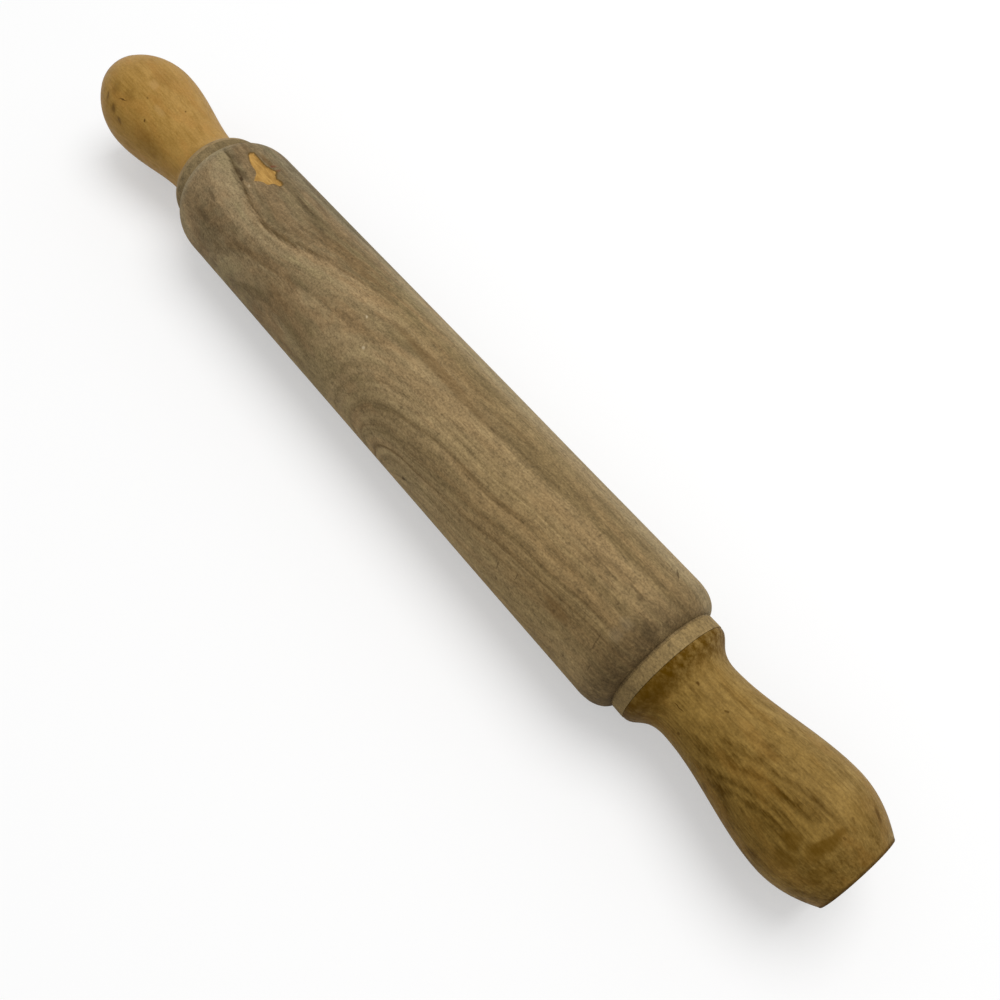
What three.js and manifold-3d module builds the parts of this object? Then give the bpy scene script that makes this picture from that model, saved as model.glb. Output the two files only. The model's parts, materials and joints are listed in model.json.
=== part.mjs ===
// A wooden rolling pin whose barrel turns on a steel axle between two handles.
// Units are millimetres, +Z is up and +X runs along the axle towards the right handle.
// The origin lies under the middle of the barrel, on the surface that the pin rests on.

import * as THREE from "three";
import { mergeVertices } from "three/addons/utils/BufferGeometryUtils.js";
import Module from "manifold-3d";

// Barrel: the straight rolling surface, its rounded shoulders, a groove and a collar at each end
const barrelRadius = 28.0;
const rollingLength = 256.0;
const shoulderLength = 10.5;
const shoulderDrop = 6.6;
const grooveWidth = 0.8;
const grooveDepth = 1.0;
const collarLength = 5.2;
const collarRound = 0.8;

// Handle: a flange beside the collar, an ogee into the neck, a swell to the bulb, a dome to the flat end
const handleLength = 81.8;
const flangeSetback = 0.2;
const neckDistance = 13.0;
const neckRadius = 16.2;
const bulbRadius = 22.5;
const domeLength = 20.8;
const endWall = 6.4;
const endEase = 0.5;

// Axle: a steel bar, turned down beyond a shoulder at each end for the thread
const axleRadius = 5.0;
const axleShoulder = 1.0;
const threadPastNut = 3.0;
const threadChamfer = 0.8;

// Flanged bushes, pressed into the ends of the barrel
const bushWall = 3.0;
const bushLength = 24.0;
const bushFlangeWidth = 4.4;
const bushFlangeThickness = 2.5;

// Thrust washers, each held between a shoulder of the axle and the foot of a handle
const thrustWasherWidth = 6.9;
const thrustWasherThickness = 1.5;

// Hardware that clamps each handle, in a pocket under the end plug
const nutWasherWidth = 4.3;
const nutWasherThickness = 1.6;
const lockWasherWidth = 3.2;
const lockWasherThickness = 2.0;
const lockWasherSplit = 1.2;
const nutWall = 2.4;
const nutThickness = 6.5;
const nutChamferAngle = 30;
const plugThickness = 9.0;
const plugEase = 0.3;

// Clearances
const endPlay = 0.3;
const handleGap = 0.5;
const runningClearance = 0.1;
const pressClearance = 0.05;
const shankClearance = 0.1;
const axleBoreClearance = 1.0;
const pocketClearance = 1.0;
const recessClearance = 0.3;
const seatGap = 0.1;
const plugToAxle = 1.0;

// Where the ogee's two control points stand, as shares of the way from the flange to the neck
const ogeeCrownShare = 0.35;
const ogeeHollowShare = 0.32;

// Smoothness: facets round each turned piece, and steps along each curve of a profile
const facets = 36;
const shoulderSteps = 4;
const curveSteps = 7;
const filletSteps = 2;
const nutSides = 6;

// Radii that follow from the sizes above
const grooveRadius = barrelRadius - shoulderDrop;
const collarRadius = grooveRadius + grooveDepth;
const flangeRadius = collarRadius - flangeSetback;
const threadRadius = axleRadius - axleShoulder;
const bushBore = axleRadius + runningClearance;
const bushRadius = bushBore + bushWall;
const bushFlangeRadius = bushRadius + bushFlangeWidth;
const shankBore = threadRadius + shankClearance;
const thrustWasherRadius = shankBore + thrustWasherWidth;
const nutWasherRadius = shankBore + nutWasherWidth;
const lockWasherRadius = shankBore + lockWasherWidth;
const nutFlatRadius = shankBore + nutWall;
const nutCornerRadius = nutFlatRadius / Math.cos(Math.PI / nutSides);
const pocketRadius = Math.max(nutWasherRadius, lockWasherRadius, nutCornerRadius) + pocketClearance;
const endRadius = pocketRadius + endWall;

// The pin rests on a flat facet of its widest piece.
const axleHeight = Math.max(barrelRadius, bulbRadius) * Math.cos(Math.PI / facets);
const barrelEnd = rollingLength / 2 + shoulderLength + grooveWidth + collarLength;

// Places along the axle, measured outwards from the end face of the barrel
const washerSeat = endPlay + thrustWasherThickness + seatGap;
const handleEnd = handleGap + handleLength;
const plugFoot = handleEnd - plugThickness;
const axleEnd = plugFoot - plugToAxle;
const nutFoot = axleEnd - threadPastNut - nutThickness;
const lockWasherFoot = nutFoot - seatGap - lockWasherThickness;
const nutWasherFoot = lockWasherFoot - seatGap - nutWasherThickness;
const pocketFloor = nutWasherFoot - seatGap;

// Finishes: each mesh gets its own copy
const bareWood = new THREE.MeshStandardMaterial({ color: 0x7f6c54, roughness: 0.75, metalness: 0 });
const polishedWood = new THREE.MeshStandardMaterial({ color: 0xa27a40, roughness: 0.45, metalness: 0 });
const endGrain = new THREE.MeshStandardMaterial({ color: 0x8a6736, roughness: 0.6, metalness: 0 });
const steel = new THREE.MeshStandardMaterial({ color: 0xa8a9aa, roughness: 0.35, metalness: 1 });
const nylon = new THREE.MeshStandardMaterial({ color: 0xe4dfd0, roughness: 0.5, metalness: 0 });

function mesh(name, geometry, finish) {
  const made = new THREE.Mesh(geometry, finish.clone());
  made.name = name;
  return made;
}

// A profile is a list of points: distance along the axle, then radius.
const at = (along, radius) => new THREE.Vector2(along, radius);

// The points of a curve after its first one, which the profile already holds.
const onward = (curve, steps) => curve.getPoints(steps).slice(1);

// A quarter ellipse that leaves along the axle and falls towards it.
const fallingRound = (x, y, length, drop) =>
  new THREE.EllipseCurve(x, y, length, drop, Math.PI / 2, 0, true);

// A quarter ellipse that rises from the axle and ends along it.
const risingRound = (x, y, length, rise) =>
  new THREE.EllipseCurve(x, y, length, rise, Math.PI, Math.PI / 2, true);

// The same profile on the other side of the middle, in the opposite order.
const mirrored = (profile) => profile.map((point) => at(-point.x, point.y)).reverse();

// Turns a profile about the axle, with a flat facet facing down.
function turned(profile) {
  const distinct = profile.filter((point, index) => index === 0 || !point.equals(profile[index - 1]));
  const ordered = THREE.ShapeUtils.area(distinct) > 0 ? distinct.reverse() : distinct;
  const lathePoints = ordered.map((point) => new THREE.Vector2(point.y, point.x));
  const geometry = new THREE.LatheGeometry(lathePoints, facets, Math.PI / facets);
  return geometry.rotateZ(-Math.PI / 2);
}

// A washer: a ring with square edges.
function washer(inner, outer, foot, thickness) {
  const top = foot + thickness;
  return turned([at(foot, inner), at(foot, outer), at(top, outer), at(top, inner), at(foot, inner)]);
}

// Extrudes a flat outline along the axle.
function extruded(outline, foot, thickness) {
  const geometry = new THREE.ExtrudeGeometry(outline, {
    depth: thickness,
    bevelEnabled: false,
    curveSegments: facets / 2,
  });
  return geometry.rotateY(Math.PI / 2).translate(foot, 0, 0);
}

const wasm = await Module();
wasm.setup();

function solidOf(geometry) {
  const bare = geometry.clone();
  bare.deleteAttribute("normal");
  bare.deleteAttribute("uv");
  const merged = mergeVertices(bare);
  return new wasm.Manifold(
    new wasm.Mesh({
      numProp: 3,
      vertProperties: new Float32Array(merged.getAttribute("position").array),
      triVerts: new Uint32Array(merged.index.array),
    }),
  );
}

function geometryOf(solid) {
  const { vertProperties, triVerts } = solid.getMesh();
  const geometry = new THREE.BufferGeometry();
  geometry.setAttribute("position", new THREE.BufferAttribute(vertProperties, 3));
  geometry.setIndex(new THREE.BufferAttribute(triVerts, 1));
  return geometry;
}

// From the end of the rolling surface, over the shoulder, groove and collar, to the end face.
function barrelEndOutline() {
  const round = Math.min(collarRound, grooveDepth, collarLength / 2);
  const shoulderStart = rollingLength / 2;
  const collarStart = barrelEnd - collarLength;
  return [
    at(shoulderStart, barrelRadius),
    ...onward(fallingRound(shoulderStart, grooveRadius, shoulderLength, shoulderDrop), shoulderSteps),
    at(collarStart, grooveRadius),
    ...risingRound(collarStart + round, collarRadius - round, round, round).getPoints(filletSteps),
    ...fallingRound(barrelEnd - round, collarRadius - round, round, round).getPoints(filletSteps),
  ];
}

// Seats for the flange and the sleeve of a bush, then a drilled bore that the axle doesn't touch.
function barrelEndBore() {
  const flangeSeat = barrelEnd - bushFlangeThickness - seatGap;
  const sleeveSeat = barrelEnd - bushLength - seatGap;
  return [
    at(barrelEnd, bushFlangeRadius + pressClearance),
    at(flangeSeat, bushFlangeRadius + pressClearance),
    at(flangeSeat, bushRadius + pressClearance),
    at(sleeveSeat, bushRadius + pressClearance),
    at(sleeveSeat, axleRadius + axleBoreClearance),
  ];
}

function barrelGeometry() {
  const right = [...barrelEndOutline(), ...barrelEndBore()];
  return turned([...right, ...mirrored(right), right[0]]);
}

// The bar runs from one end plug to the other.
function axleGeometry() {
  const shoulder = barrelEnd + endPlay - seatGap;
  const tip = barrelEnd + axleEnd;
  const right = [
    at(shoulder, axleRadius),
    at(shoulder, threadRadius),
    at(tip - threadChamfer, threadRadius),
    at(tip, threadRadius - threadChamfer),
    at(tip, 0),
  ];
  return turned([...mirrored(right), ...right]);
}

// The flange of a bush lies flush with the end face of the barrel.
function bushGeometry() {
  return turned([
    at(-bushLength, bushBore),
    at(-bushLength, bushRadius),
    at(-bushFlangeThickness, bushRadius),
    at(-bushFlangeThickness, bushFlangeRadius),
    at(0, bushFlangeRadius),
    at(0, bushBore),
    at(-bushLength, bushBore),
  ]);
}

// The outside of a handle, from the rim of its flange to the edge of its flat end.
function handleOutline() {
  const rim = at(handleGap, flangeRadius);
  const neck = at(handleGap + neckDistance, neckRadius);
  const bulb = at(handleEnd - domeLength, bulbRadius);
  const edge = at(handleEnd - endEase, endRadius);
  const crown = at(rim.x + neckDistance * ogeeCrownShare, flangeRadius);
  const hollow = at(rim.x + neckDistance * ogeeHollowShare, neckRadius);
  const swellThird = (bulb.x - neck.x) / 3;
  const swellLow = at(neck.x + swellThird, neckRadius);
  const swellHigh = at(bulb.x - swellThird, bulbRadius);
  const domeTop = at((bulb.x + edge.x) / 2, bulbRadius);
  return [
    rim,
    ...onward(new THREE.CubicBezierCurve(rim, crown, hollow, neck), curveSteps),
    ...onward(new THREE.CubicBezierCurve(neck, swellLow, swellHigh, bulb), curveSteps),
    ...onward(new THREE.QuadraticBezierCurve(bulb, domeTop, edge), curveSteps),
    at(handleEnd, endRadius - endEase),
  ];
}

// Inside are a pocket for the nut, a bore for the thread and a recess for the thrust washer.
function handleGeometry() {
  const recessRadius = thrustWasherRadius + recessClearance;
  const outline = handleOutline();
  return turned([
    ...outline,
    at(handleEnd, pocketRadius),
    at(pocketFloor, pocketRadius),
    at(pocketFloor, shankBore),
    at(washerSeat, shankBore),
    at(washerSeat, recessRadius),
    at(handleGap, recessRadius),
    outline[0],
  ]);
}

// A spring washer pressed flat: an open ring with a straight split.
function lockWasherGeometry() {
  const outerAngle = Math.asin(lockWasherSplit / 2 / lockWasherRadius);
  const innerAngle = Math.asin(lockWasherSplit / 2 / shankBore);
  const outline = new THREE.Shape();
  outline.absarc(0, 0, lockWasherRadius, outerAngle, 2 * Math.PI - outerAngle, false);
  outline.absarc(0, 0, shankBore, 2 * Math.PI - innerAngle, innerAngle, true);
  outline.closePath();
  return extruded(outline, lockWasherFoot, lockWasherThickness);
}

// A hexagon with a plain bore for the thread.
function nutBlank() {
  const hexagon = new THREE.Shape();
  for (let side = 0; side < nutSides; side += 1) {
    const angle = (side * 2 * Math.PI) / nutSides;
    const corner = at(nutCornerRadius * Math.cos(angle), nutCornerRadius * Math.sin(angle));
    if (side === 0) {
      hexagon.moveTo(corner.x, corner.y);
    } else {
      hexagon.lineTo(corner.x, corner.y);
    }
  }
  hexagon.closePath();
  const bore = new THREE.Path();
  bore.absarc(0, 0, shankBore, 0, 2 * Math.PI, false);
  hexagon.holes.push(bore);
  return extruded(hexagon, nutFoot, nutThickness);
}

// The corners of the blank are cut back by a cone on both faces.
function nutGeometry() {
  const coneRadius = nutCornerRadius / Math.cos(Math.PI / facets);
  const coneDepth = (coneRadius - nutFlatRadius) * Math.tan(THREE.MathUtils.degToRad(nutChamferAngle));
  const nutTop = nutFoot + nutThickness;
  const cones = turned([
    at(nutFoot, 0),
    at(nutFoot, nutFlatRadius),
    at(nutFoot + coneDepth, coneRadius),
    at(nutTop - coneDepth, coneRadius),
    at(nutTop, nutFlatRadius),
    at(nutTop, 0),
  ]);
  return geometryOf(solidOf(nutBlank()).intersect(solidOf(cones)));
}

// A wooden disc that closes the pocket, flush with the end of the handle.
function plugGeometry() {
  const plugRadius = pocketRadius - pressClearance;
  return turned([
    at(plugFoot, 0),
    at(plugFoot, plugRadius),
    at(handleEnd - plugEase, plugRadius),
    at(handleEnd, plugRadius - plugEase),
    at(handleEnd, 0),
  ]);
}

// One end of the pin, built outwards along +X from the end face of the barrel.
function endPieces(side) {
  const thrustWasher = washer(shankBore, thrustWasherRadius, endPlay, thrustWasherThickness);
  const nutWasher = washer(shankBore, nutWasherRadius, nutWasherFoot, nutWasherThickness);
  const end = new THREE.Group();
  end.add(
    mesh(`${side}_bush`, bushGeometry(), nylon),
    mesh(`${side}_thrust_washer`, thrustWasher, steel),
    mesh(`${side}_handle`, handleGeometry(), polishedWood),
    mesh(`${side}_nut_washer`, nutWasher, steel),
    mesh(`${side}_lock_washer`, lockWasherGeometry(), steel),
    mesh(`${side}_nut`, nutGeometry(), steel),
    mesh(`${side}_end_plug`, plugGeometry(), endGrain),
  );
  return end;
}

const rightEnd = endPieces("right");
rightEnd.position.x = barrelEnd;

const leftEnd = endPieces("left");
leftEnd.position.x = -barrelEnd;
leftEnd.rotation.z = Math.PI;

const rollingPin = new THREE.Group();
rollingPin.position.z = axleHeight;
rollingPin.add(
  mesh("barrel", barrelGeometry(), bareWood),
  mesh("axle_rod", axleGeometry(), steel),
  rightEnd,
  leftEnd,
);

export default rollingPin;
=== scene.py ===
import json
import math

import bmesh
import bpy
import numpy as np
from mathutils import Matrix, Vector

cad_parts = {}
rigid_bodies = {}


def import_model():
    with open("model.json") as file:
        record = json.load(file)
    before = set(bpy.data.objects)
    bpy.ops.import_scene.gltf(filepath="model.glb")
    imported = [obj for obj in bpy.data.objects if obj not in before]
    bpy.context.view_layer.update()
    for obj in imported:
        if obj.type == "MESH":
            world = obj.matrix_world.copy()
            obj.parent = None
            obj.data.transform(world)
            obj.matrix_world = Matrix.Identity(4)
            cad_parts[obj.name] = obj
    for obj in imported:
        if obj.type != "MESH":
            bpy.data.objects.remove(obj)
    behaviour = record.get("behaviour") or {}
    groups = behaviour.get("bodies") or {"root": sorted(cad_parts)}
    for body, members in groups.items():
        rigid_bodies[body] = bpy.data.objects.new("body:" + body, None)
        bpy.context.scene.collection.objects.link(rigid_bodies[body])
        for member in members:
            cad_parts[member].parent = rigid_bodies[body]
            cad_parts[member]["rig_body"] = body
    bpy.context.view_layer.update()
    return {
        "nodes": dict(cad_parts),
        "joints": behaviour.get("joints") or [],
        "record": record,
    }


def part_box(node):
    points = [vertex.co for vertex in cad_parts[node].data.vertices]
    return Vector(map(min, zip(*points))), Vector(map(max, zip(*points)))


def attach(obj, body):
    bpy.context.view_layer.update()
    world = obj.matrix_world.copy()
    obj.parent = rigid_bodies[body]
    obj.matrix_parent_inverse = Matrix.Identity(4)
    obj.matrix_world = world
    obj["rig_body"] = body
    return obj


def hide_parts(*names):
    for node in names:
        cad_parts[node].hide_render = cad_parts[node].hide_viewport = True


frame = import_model()

mm = 0.001  # sizes below are millimetres, meshes are metres
creaseAngle = 32  # degrees between faces from which an edge stays sharp
axleHeight = frame["joints"][0]["pos_m"][2] / mm


def reach(node):
    # a node's lowest and highest x and its largest radius from the axle
    low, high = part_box(node)
    return low.x / mm, high.x / mm, high.z / mm - axleHeight


barrelEnd = reach("barrel")[1]
handleTip = reach("right_handle")[1]


# outlines, as points (distance along the axle, radius)

def straight(start, end, longest):
    # start + (end - start) t, in equal steps no longer than the longest allowed
    start, end = np.array(start, float), np.array(end, float)
    steps = max(1, math.ceil(np.linalg.norm(end - start) / longest))
    return start + (end - start) * np.linspace(0, 1, steps + 1)[:, None]


def arc(centre, radii, first, last, steps):
    # centre + radii (cos t, sin t), with t in degrees from first to last
    t = np.radians(np.linspace(first, last, steps + 1))[:, None]
    return np.array(centre) + np.array(radii) * np.hstack([np.cos(t), np.sin(t)])


def bezier(controls, steps):
    # the sum of binomial(n, k) (1 - t)^(n - k) t^k times control k
    t = np.linspace(0, 1, steps + 1)[:, None]
    n = len(controls) - 1
    return sum(math.comb(n, k) * (1 - t) ** (n - k) * t**k * np.array(c) for k, c in enumerate(controls))


def joined(*stretches):
    # stretches end to end, without the points that repeat the one before
    points = np.concatenate([np.atleast_2d(np.array(s, float)) for s in stretches])
    apart = np.linalg.norm(np.diff(points, axis=0), axis=1) > 1e-6
    return points[np.append(True, apart)]


def eased(corners, radius, steps=3):
    # a closed outline whose corners are quadratic curves that start a radius before them
    corners = np.array(corners, float)
    before, after = np.roll(corners, 1, 0) - corners, np.roll(corners, -1, 0) - corners
    start = corners + before / np.linalg.norm(before, axis=1)[:, None] * radius
    end = corners + after / np.linalg.norm(after, axis=1)[:, None] * radius
    return joined(*[bezier([s, c, e], steps) for s, c, e in zip(start, corners, end)])


# surfaces and meshes

def soft(value, low, high):
    # 3 t^2 - 2 t^3, with t from 0 at low to 1 at high
    t = np.clip((value - low) / (high - low), 0, 1)
    return t * t * (3 - 2 * t)


def turned(outline, around, relief=0.0):
    # point(t, a) = (x(t), r cos a, axle height + r sin a), where r is the outline's radius plus the relief
    a = np.radians(around)[None, :]
    r = outline[:, 1:] + relief
    x = np.broadcast_to(outline[:, :1], np.broadcast_shapes(r.shape, a.shape))
    return np.stack([x, r * np.cos(a), axleHeight + r * np.sin(a)], -1)


def fullTurn(columns):
    # equal steps of the angle once round, in degrees
    return np.linspace(0, 360, columns + 1)[:-1]


def turnedAbout(points):
    # the same piece at the other end of the pin: a half turn about the upright through its middle
    return points * np.array([-1.0, -1.0, 1.0])


def gridFaces(points, loopRows, loopColumns):
    # the point numbers as a grid, and the quads between neighbours
    rows, columns = points.shape[:2]
    index = np.arange(rows * columns).reshape(rows, columns)
    ahead = np.roll(index, -1, 0)
    quads = np.stack([index, np.roll(index, -1, 1), np.roll(ahead, -1, 1), ahead], -1)
    quads = quads[:rows if loopRows else -1, :columns if loopColumns else -1]
    return index, quads.reshape(-1, 4).tolist()


def makePiece(name, points, finish, node, looped=True, fields={}):
    # a surface that is closed round the axle, and along the outline if looped
    quads = gridFaces(points, looped, True)[1]
    mesh = bpy.data.meshes.new(name)
    mesh.from_pydata((points * mm).reshape(-1, 3).tolist(), [], quads)
    for carried, values in fields.items():
        layer = mesh.attributes.new(carried, "FLOAT", "POINT")
        layer.data.foreach_set("value", values.astype(np.float32).ravel())
    if not looped:  # close the poles on the axle
        work = bmesh.new()
        work.from_mesh(mesh)
        bmesh.ops.remove_doubles(work, verts=work.verts, dist=1e-7)
        work.to_mesh(mesh)
        work.free()
    return addPiece(name, mesh, finish, node)


def addPiece(name, mesh, finish, node):
    mesh.validate()
    mesh.shade_smooth()
    mesh.set_sharp_from_angle(angle=math.radians(creaseAngle))
    mesh.materials.append(finish)
    piece = bpy.data.objects.new(name, mesh)
    bpy.context.scene.collection.objects.link(piece)
    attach(piece, frame["nodes"][node]["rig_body"])
    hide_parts(node)
    next(s["material_slot"] for s in frame["record"]["subparts"] if s["node"] == node)
    return piece


def ringField(lines, points, radiusAt, stretch=0.35, slack=0.0005):
    # ring(p) = sum of w |p - c|^3 + a + b.p: the weights make each traced line's points carry its number
    knots = np.array([(x, around, number) for number, line in lines for x, around in line])
    a, r = np.radians(knots[:, 1]), radiusAt(knots[:, 0])
    shrink = np.array([stretch, 1, 1]) / radiusAt(knots[:, 0]).max()
    centres = np.stack([knots[:, 0], r * np.cos(a), r * np.sin(a)], 1) * shrink
    count = len(centres)
    plane = np.hstack([np.ones((count, 1)), centres])
    near = np.linalg.norm(centres[:, None] - centres[None], axis=2) ** 3 + slack * np.eye(count)
    system = np.block([[near, plane], [plane.T, np.zeros((4, 4))]])
    weights = np.linalg.solve(system, np.append(knots[:, 2], np.zeros(4)))
    flat = (points.reshape(-1, 3) - np.array([0, 0, axleHeight])) * shrink
    # in parts, to spare memory
    pulls = [np.linalg.norm(part[:, None] - centres[None], axis=2) ** 3 @ weights[:count]
             for part in np.array_split(flat, 40)]
    return (np.concatenate(pulls) + weights[count] + flat @ weights[count + 1:]).reshape(points.shape[:2])


def insideDistance(outline, x, arcLength):
    # distance to the nearest edge of a closed outline, above 0 inside it by the even-odd rule
    nearest, inside = np.full(x.shape, np.inf), np.zeros(x.shape, bool)
    for (x0, y0), (x1, y1) in zip(outline, np.roll(outline, -1, 0)):
        dx, dy = x1 - x0, y1 - y0
        t = np.clip(((x - x0) * dx + (arcLength - y0) * dy) / (dx * dx + dy * dy), 0, 1)
        nearest = np.minimum(nearest, np.hypot(x - x0 - t * dx, arcLength - y0 - t * dy))
        crossed = (y0 > arcLength) != (y1 > arcLength)
        inside ^= crossed & (x < x0 + (arcLength - y0) * dx / np.where(dy == 0, 1, dy))
    return np.where(inside, nearest, -nearest)


# shader maths

class Sock:  # a socket that takes part in Python expressions
    def __init__(self, tree, link=None):
        self.tree = tree
        self.link = link

    def node(self, kind, settings={}, values={}, output=0):
        made = self.tree.nodes.new(kind)
        for name, value in settings.items():
            if name == "stops":
                setStops(made.color_ramp.elements, value)
            else:
                setattr(made, name, value)
        for name, value in values.items():
            if isinstance(value, Sock):
                self.tree.links.new(value.link, made.inputs[name])
            else:
                made.inputs[name].default_value = value
        return Sock(self.tree, made.outputs[output] if len(made.outputs) else None)

    def maths(self, operation, *values):
        return self.node("ShaderNodeMath", {"operation": operation}, dict(enumerate(values)))

    def __add__(self, other):
        return self.maths("ADD", self, other)

    def __sub__(self, other):
        return self.maths("SUBTRACT", self, other)

    def __rsub__(self, other):
        return self.maths("SUBTRACT", other, self)

    def __mul__(self, other):
        return self.maths("MULTIPLY", self, other)

    def __truediv__(self, other):
        return self.maths("DIVIDE", self, other)

    __radd__ = __add__
    __rmul__ = __mul__


def setStops(elements, stops):
    # grey stops of a ramp, as (place, level)
    while len(elements) < len(stops):
        elements.new(1.0)
    for element, (place, level) in zip(elements, stops):
        element.position = place
        element.color = (level, level, level, 1)


def paint(red, green, blue):
    # the linear colour of an sRGB colour from 0 to 255
    level = np.array([red, green, blue]) / 255
    linear = np.where(level <= 0.04045, level / 12.92, ((level + 0.055) / 1.055) ** 2.4)
    return (*linear.tolist(), 1.0)


def ease(value, low, high):
    # 0 up to low and 1 from high on, with a smooth step between, or the other way round if low is higher
    return value.node("ShaderNodeMapRange", {"interpolation_type": "SMOOTHSTEP"},
                      {"Value": value, "From Min": low, "From Max": high})


def larger(first, second):
    return first.maths("MAXIMUM", first, second)


def blend(first, second, share, mode="MIX"):
    # colours: the first where share is 0, the second where it is 1
    owner = next(s for s in (share, first, second) if isinstance(s, Sock))
    return owner.node("ShaderNodeMix", {"data_type": "RGBA", "blend_type": mode},
                      {0: share, 6: first, 7: second}, 2)


def shade(colour, factor):
    # a colour times a number
    fixed = not isinstance(colour, Sock)
    return factor.node("ShaderNodeVectorMath", {"operation": "SCALE"},
                       {"Vector": colour[:3] if fixed else colour, "Scale": factor})


def clouds(point, size, detail=2.0, rough=0.5, output="Fac"):
    # noise about 0.5, whose patches have about this size along x, y and z
    sized = point.node("ShaderNodeVectorMath", {"operation": "DIVIDE"}, {0: point, 1: size})
    return point.node("ShaderNodeTexNoise", {}, {"Vector": sized, "Scale": 1.0, "Detail": detail,
                                                 "Roughness": rough}, output)


def emptyTree(owner):
    # a material's or a sky's nodes, without the ones it starts with
    owner.use_nodes = True
    owner.node_tree.nodes.clear()
    return Sock(owner.node_tree)


def newFinish(name):
    # a new material, with its point in millimetres from the axle's middle
    material = bpy.data.materials.new(name)
    start = emptyTree(material)
    coords = start.node("ShaderNodeTexCoord", {}, {}, "Object")
    point = start.node("ShaderNodeMapping", {"vector_type": "POINT"},
                       {"Vector": coords, "Location": (0, 0, -axleHeight), "Scale": (1 / mm,) * 3})
    return material, point


def field(point, name):
    # a value that the mesh carries at its points
    return point.node("ShaderNodeAttribute", {"attribute_name": name}, {}, "Fac")


def lengthOf(vector):
    return vector.node("ShaderNodeVectorMath", {"operation": "LENGTH"}, {0: vector}, "Value")


def split(point):
    # the point's x, y and z
    return [point.node("ShaderNodeSeparateXYZ", {}, {"Vector": point}, axis) for axis in "XYZ"]


def surface(point, colour, roughness, height, depth, fixed):
    # the shader itself: height is raised by up to depth millimetres, fixed values go straight on sockets
    normal = point.node("ShaderNodeBump", {}, {"Strength": 1.0, "Distance": depth * mm, "Height": height})
    values = {"Base Color": colour, "Roughness": roughness, "Normal": normal, **fixed}
    shader = point.node("ShaderNodeBsdfPrincipled", {}, values)
    point.node("ShaderNodeOutputMaterial", {}, {"Surface": shader})


def wobbled(point, size, amount):
    # a point pushed about by noise, for ragged edges
    push = clouds(point, (size,) * 3, 2.0, 0.5, "Color")
    centred = point.node("ShaderNodeVectorMath", {"operation": "SUBTRACT"}, {0: push, 1: (0.5, 0.5, 0.5)})
    scaled = point.node("ShaderNodeVectorMath", {"operation": "SCALE"}, {"Vector": centred, "Scale": amount})
    return point.node("ShaderNodeVectorMath", {"operation": "ADD"}, {0: point, 1: scaled})


def ringShade(number, shades):
    # the darkness at a ring number, read off a ramp with one stop for each (number, darkness)
    lowest, highest = shades[0][0], shades[-1][0]
    stops = [((n - lowest) / (highest - lowest), level) for n, level in shades]
    return number.node("ShaderNodeValToRGB", {"stops": stops},
                       {"Fac": (number - lowest) / (highest - lowest)}, "Color")


def marks(point, spots, radiusAt, core=0.35, depth=8.0):
    # the strongest of several soft spots; a spot is (x, around, length, width, slant, strength)
    total = None
    for x, around, length, width, slant, strength in spots:
        a, r = math.radians(around), float(radiusAt(x))
        turn = Matrix.Rotation(a - math.pi / 2, 3, "X") @ Matrix.Rotation(math.radians(-slant), 3, "Z")
        local = point.node("ShaderNodeMapping", {"vector_type": "TEXTURE"}, {
            "Vector": point, "Location": (x, r * math.cos(a), r * math.sin(a)),
            "Rotation": turn.to_euler(), "Scale": (length / 2, width / 2, depth)})
        spot = ease(lengthOf(local), 1.0, core) * strength
        total = spot if total is None else larger(total, spot)
    return total


# barrel

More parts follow.
